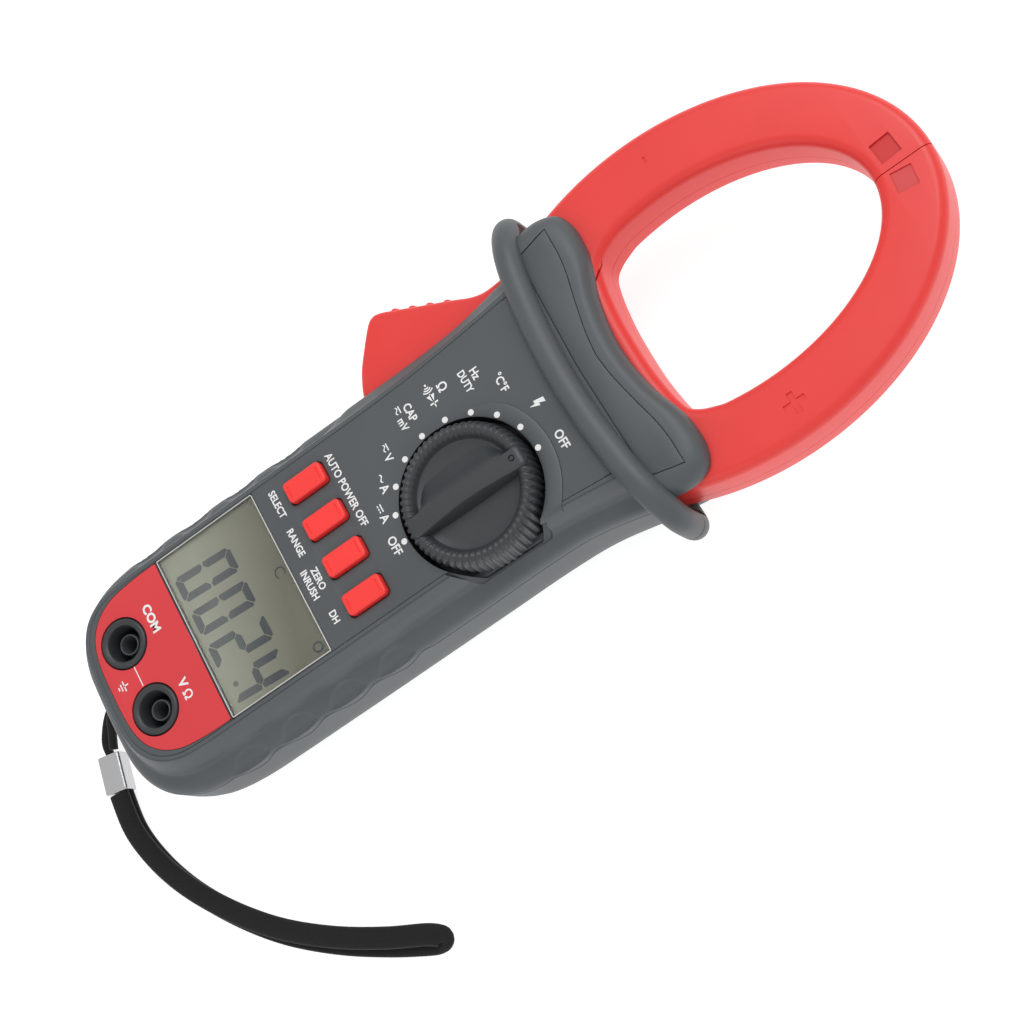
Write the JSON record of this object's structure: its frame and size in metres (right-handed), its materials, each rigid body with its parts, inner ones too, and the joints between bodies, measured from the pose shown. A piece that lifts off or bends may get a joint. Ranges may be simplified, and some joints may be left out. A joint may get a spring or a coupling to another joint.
{
  "type": "clamp meter",
  "caption": "Hand-held digital clamp meter with a hinged current jaw and trigger lever, rotary selector knob, display window, rubber keys, test-lead sockets and a wrist strap.",
  "frame": {"origin": "on the surface the meter's back lies on, under the middle of the meter's length and width; the wrist strap is not counted", "axes": "+X towards the meter's right side, +Y towards the tip of the jaws, +Z out of the front panel; the meter lies on its back"},
  "size_m": [0.1374, 0.271, 0.043],
  "materials": {
    "grip_rubber": "satin",
    "case_plastic": "fine satin",
    "jaw_red": "satin",
    "key_red": "satin",
    "label_red": "satin",
    "black_plastic": "satin",
    "window_clear": "clear",
    "display": "gloss",
    "white_plastic": "satin",
    "board_green": "satin",
    "steel": "brushed",
    "brass": "satin",
    "core_iron": "dull",
    "strap_cord": "woven"
  },
  "bodies": {
    "case": {"backlight": "white_plastic", "base_core": "core_iron", "battery": "steel", "battery_cover": "case_plastic", "battery_cover_screw": "steel", "battery_snap": "black_plastic", "buzzer": "black_plastic", "case_screw_1": "steel", "case_screw_2": "steel", "case_screw_3": "steel", "case_screw_4": "steel", "com_contact": "brass", "com_shroud": "black_plastic", "contact_strip": "black_plastic", "crystal": "steel", "display_frame": "white_plastic", "display_glass": "display", "display_window": "window_clear", "fixed_core": "core_iron", "fixed_jaw_front": "jaw_red", "fixed_jaw_rear": "jaw_red", "front_case": "case_plastic", "front_grip": "grip_rubber", "hall_sensor": "black_plastic", "input_fuse": "white_plastic", "jaw_spring": "steel", "key_mat": "black_plastic", "main_board": "board_green", "meter_chip": "black_plastic", "pivot_pin": "steel", "rear_case": "case_plastic", "shoulder_panel": "case_plastic", "strap_band": "strap_cord", "strap_bar": "steel", "strap_crimp": "steel", "strap_loop": "strap_cord", "terminal_label": "label_red", "volt_contact": "brass", "volt_shroud": "black_plastic"},
    "moving_jaw": {"moving_jaw_front": "jaw_red", "moving_jaw_rear": "jaw_red", "moving_core": "core_iron"},
    "selector": {"dial_knob": "black_plastic", "wiper_disc": "white_plastic", "wiper_contact": "brass", "detent_ball": "steel"},
    "key_1": {"key_1": "key_red"},
    "key_2": {"key_2": "key_red"},
    "key_3": {"key_3": "key_red"},
    "key_4": {"key_4": "key_red"}
  },
  "joints": [
    {"name": "jaw_hinge", "type": "hinge", "parent": "case", "child": "moving_jaw", "pos_m": [-0.032, 0.029, 0.0254], "axis": [0, 0, 1], "range_deg": [0, 20], "stiffness_Nm_per_rad": 1.5, "springref_deg": -17.19},
    {"name": "selector_turn", "type": "hinge", "parent": "case", "child": "selector", "pos_m": [0.0107, -0.00865, 0.035], "axis": [0, 0, 1], "range_deg": [0, 180]},
    {"name": "key_1_press", "type": "slide", "parent": "case", "child": "key_1", "axis": [0, 0, -1], "range_m": [0, 0.001], "stiffness_N_per_m": 800, "springref_m": -0.0005},
    {"name": "key_2_press", "type": "slide", "parent": "case", "child": "key_2", "axis": [0, 0, -1], "range_m": [0, 0.001], "stiffness_N_per_m": 800, "springref_m": -0.0005},
    {"name": "key_3_press", "type": "slide", "parent": "case", "child": "key_3", "axis": [0, 0, -1], "range_m": [0, 0.001], "stiffness_N_per_m": 800, "springref_m": -0.0005},
    {"name": "key_4_press", "type": "slide", "parent": "case", "child": "key_4", "axis": [0, 0, -1], "range_m": [0, 0.001], "stiffness_N_per_m": 800, "springref_m": -0.0005}
  ]
}
